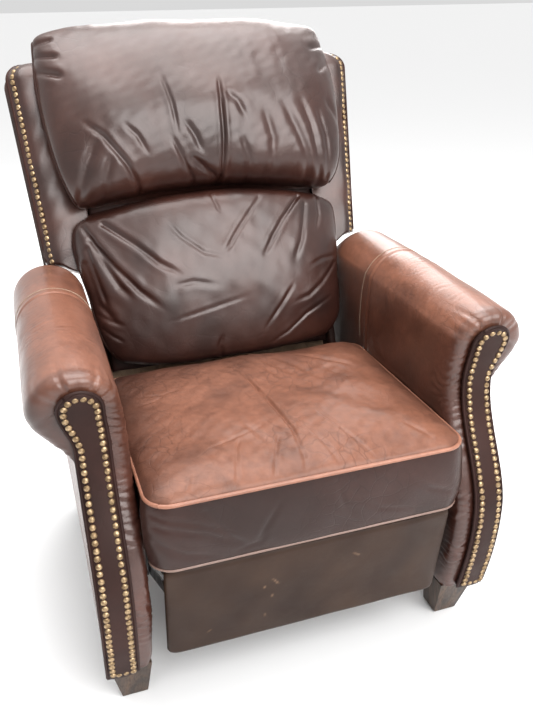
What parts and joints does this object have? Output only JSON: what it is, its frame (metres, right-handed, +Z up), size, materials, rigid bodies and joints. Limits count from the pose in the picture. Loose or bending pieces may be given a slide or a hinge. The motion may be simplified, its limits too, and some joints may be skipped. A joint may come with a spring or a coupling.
{
  "type": "recliner armchair",
  "caption": "Push-back recliner armchair in aged brown leather, with rolled arms, a winged back, an S-curved nailed arm front and a fold-out footrest.",
  "frame": {"origin": "middle of the chair's outline on the floor, under the seat", "axes": "+Z up, the chair faces -Y, +X to the right of someone looking at its front"},
  "size_m": [0.856, 0.8788, 1.1029],
  "materials": {
    "leather_worn": "satin",
    "leather": "satin",
    "leather_dark": "satin",
    "antique_brass": "satin",
    "stained_wood": "satin",
    "timber": "matte",
    "canvas": "matte",
    "zinc_steel": "satin",
    "black_steel": "satin",
    "nylon": "matte"
  },
  "bodies": {
    "base": {"arm_frame_left": "timber", "arm_frame_right": "timber", "arm_pad_left": "leather_worn", "arm_pad_right": "leather_worn", "inner_arm_left": "leather", "inner_arm_right": "leather", "outer_arm_left": "leather", "outer_arm_right": "leather", "arm_front_left": "leather", "arm_front_right": "leather", "front_facing_left": "leather_dark", "front_facing_right": "leather_dark", "facing_nails_left": "antique_brass", "facing_nails_right": "antique_brass", "front_leg_left": "stained_wood", "front_leg_right": "stained_wood", "rear_leg_left": "stained_wood", "rear_leg_right": "stained_wood", "leg_glides": "nylon", "leg_bolts": "zinc_steel", "rear_rail": "timber", "rear_band": "leather", "cross_rail": "timber", "base_plate_left": "black_steel", "base_plate_right": "black_steel", "base_pivots": "zinc_steel", "frame_screws": "zinc_steel"},
    "rear_swing": {"rear_swing_links": "zinc_steel"},
    "front_swing": {"front_swing_links": "zinc_steel"},
    "seat": {"seat_frame": "timber", "seat_springs": "zinc_steel", "seat_deck": "canvas", "seat_cushion": "leather_worn", "seat_plate_left": "black_steel", "seat_plate_right": "black_steel", "seat_pivots": "zinc_steel", "footrest_springs": "zinc_steel"},
    "back": {"back_frame": "timber", "back_webbing": "canvas", "inner_back_pad": "canvas", "outside_back": "leather", "wing_left": "leather", "wing_right": "leather", "wing_nails_left": "antique_brass", "wing_nails_right": "antique_brass", "headrest_pillow": "leather_dark", "lumbar_cushion": "leather", "back_bracket_left": "black_steel", "back_bracket_right": "black_steel", "back_screws": "zinc_steel", "guide_rollers": "nylon"},
    "rear_lift": {"rear_links": "black_steel", "torque_tube": "zinc_steel"},
    "front_lift": {"front_links": "black_steel"},
    "long_drag": {"long_links": "black_steel"},
    "short_drag": {"short_links": "black_steel"},
    "footrest": {"footrest_brackets": "black_steel", "footrest_board": "timber", "footrest_pad": "leather_dark", "footrest_screws": "zinc_steel"}
  },
  "joints": [
    {"name": "rear_swing", "type": "hinge", "parent": "base", "child": "rear_swing", "pos_m": [0, 0.06, 0.262], "axis": [1, 0, 0], "range_deg": [0, 45.1]},
    {"name": "seat_carry", "type": "hinge", "parent": "rear_swing", "child": "seat", "pos_m": [0, 0.10015, 0.31934], "axis": [1, 0, 0], "range_deg": [-45.1, 0]},
    {"name": "front_swing", "type": "hinge", "parent": "base", "child": "front_swing", "pos_m": [0, -0.11, 0.262], "axis": [1, 0, 0], "range_deg": [0, 45.1]},
    {"name": "recline", "type": "hinge", "parent": "seat", "child": "back", "pos_m": [0, 0.125, 0.36], "axis": [-1, 0, 0], "range_deg": [0, 28]},
    {"name": "footrest_open", "type": "hinge", "parent": "seat", "child": "rear_lift", "pos_m": [0, -0.175, 0.31], "axis": [-1, 0, 0], "range_deg": [0, 95], "deforming": ["footrest_springs"]},
    {"name": "front_lift", "type": "hinge", "parent": "seat", "child": "front_lift", "pos_m": [0, -0.265, 0.31], "axis": [-1, 0, 0], "range_deg": [0, 95.1]},
    {"name": "long_drag", "type": "hinge", "parent": "rear_lift", "child": "long_drag", "pos_m": [0, -0.0947, 0.1378], "axis": [-1, 0, 0], "range_deg": [-95.1, 0]},
    {"name": "short_drag", "type": "hinge", "parent": "front_lift", "child": "short_drag", "pos_m": [0, -0.21006, 0.19218], "axis": [-1, 0, 0], "range_deg": [-95.1, 0]},
    {"name": "footrest_turn", "type": "hinge", "parent": "long_drag", "child": "footrest", "pos_m": [0, -0.3547, 0.2348], "axis": [-1, 0, 0], "range_deg": [0, 95.1]}
  ],
  "couplings": [
    {"joint": "rear_swing", "follows": "recline", "ratio": 1.6071},
    {"joint": "seat_carry", "follows": "recline", "ratio": -1.6071},
    {"joint": "front_swing", "follows": "recline", "ratio": 1.6071},
    {"joint": "front_lift", "follows": "footrest_open", "ratio": 1},
    {"joint": "long_drag", "follows": "footrest_open", "ratio": -1},
    {"joint": "short_drag", "follows": "footrest_open", "ratio": -1},
    {"joint": "footrest_turn", "follows": "footrest_open", "ratio": 1}
  ]
}
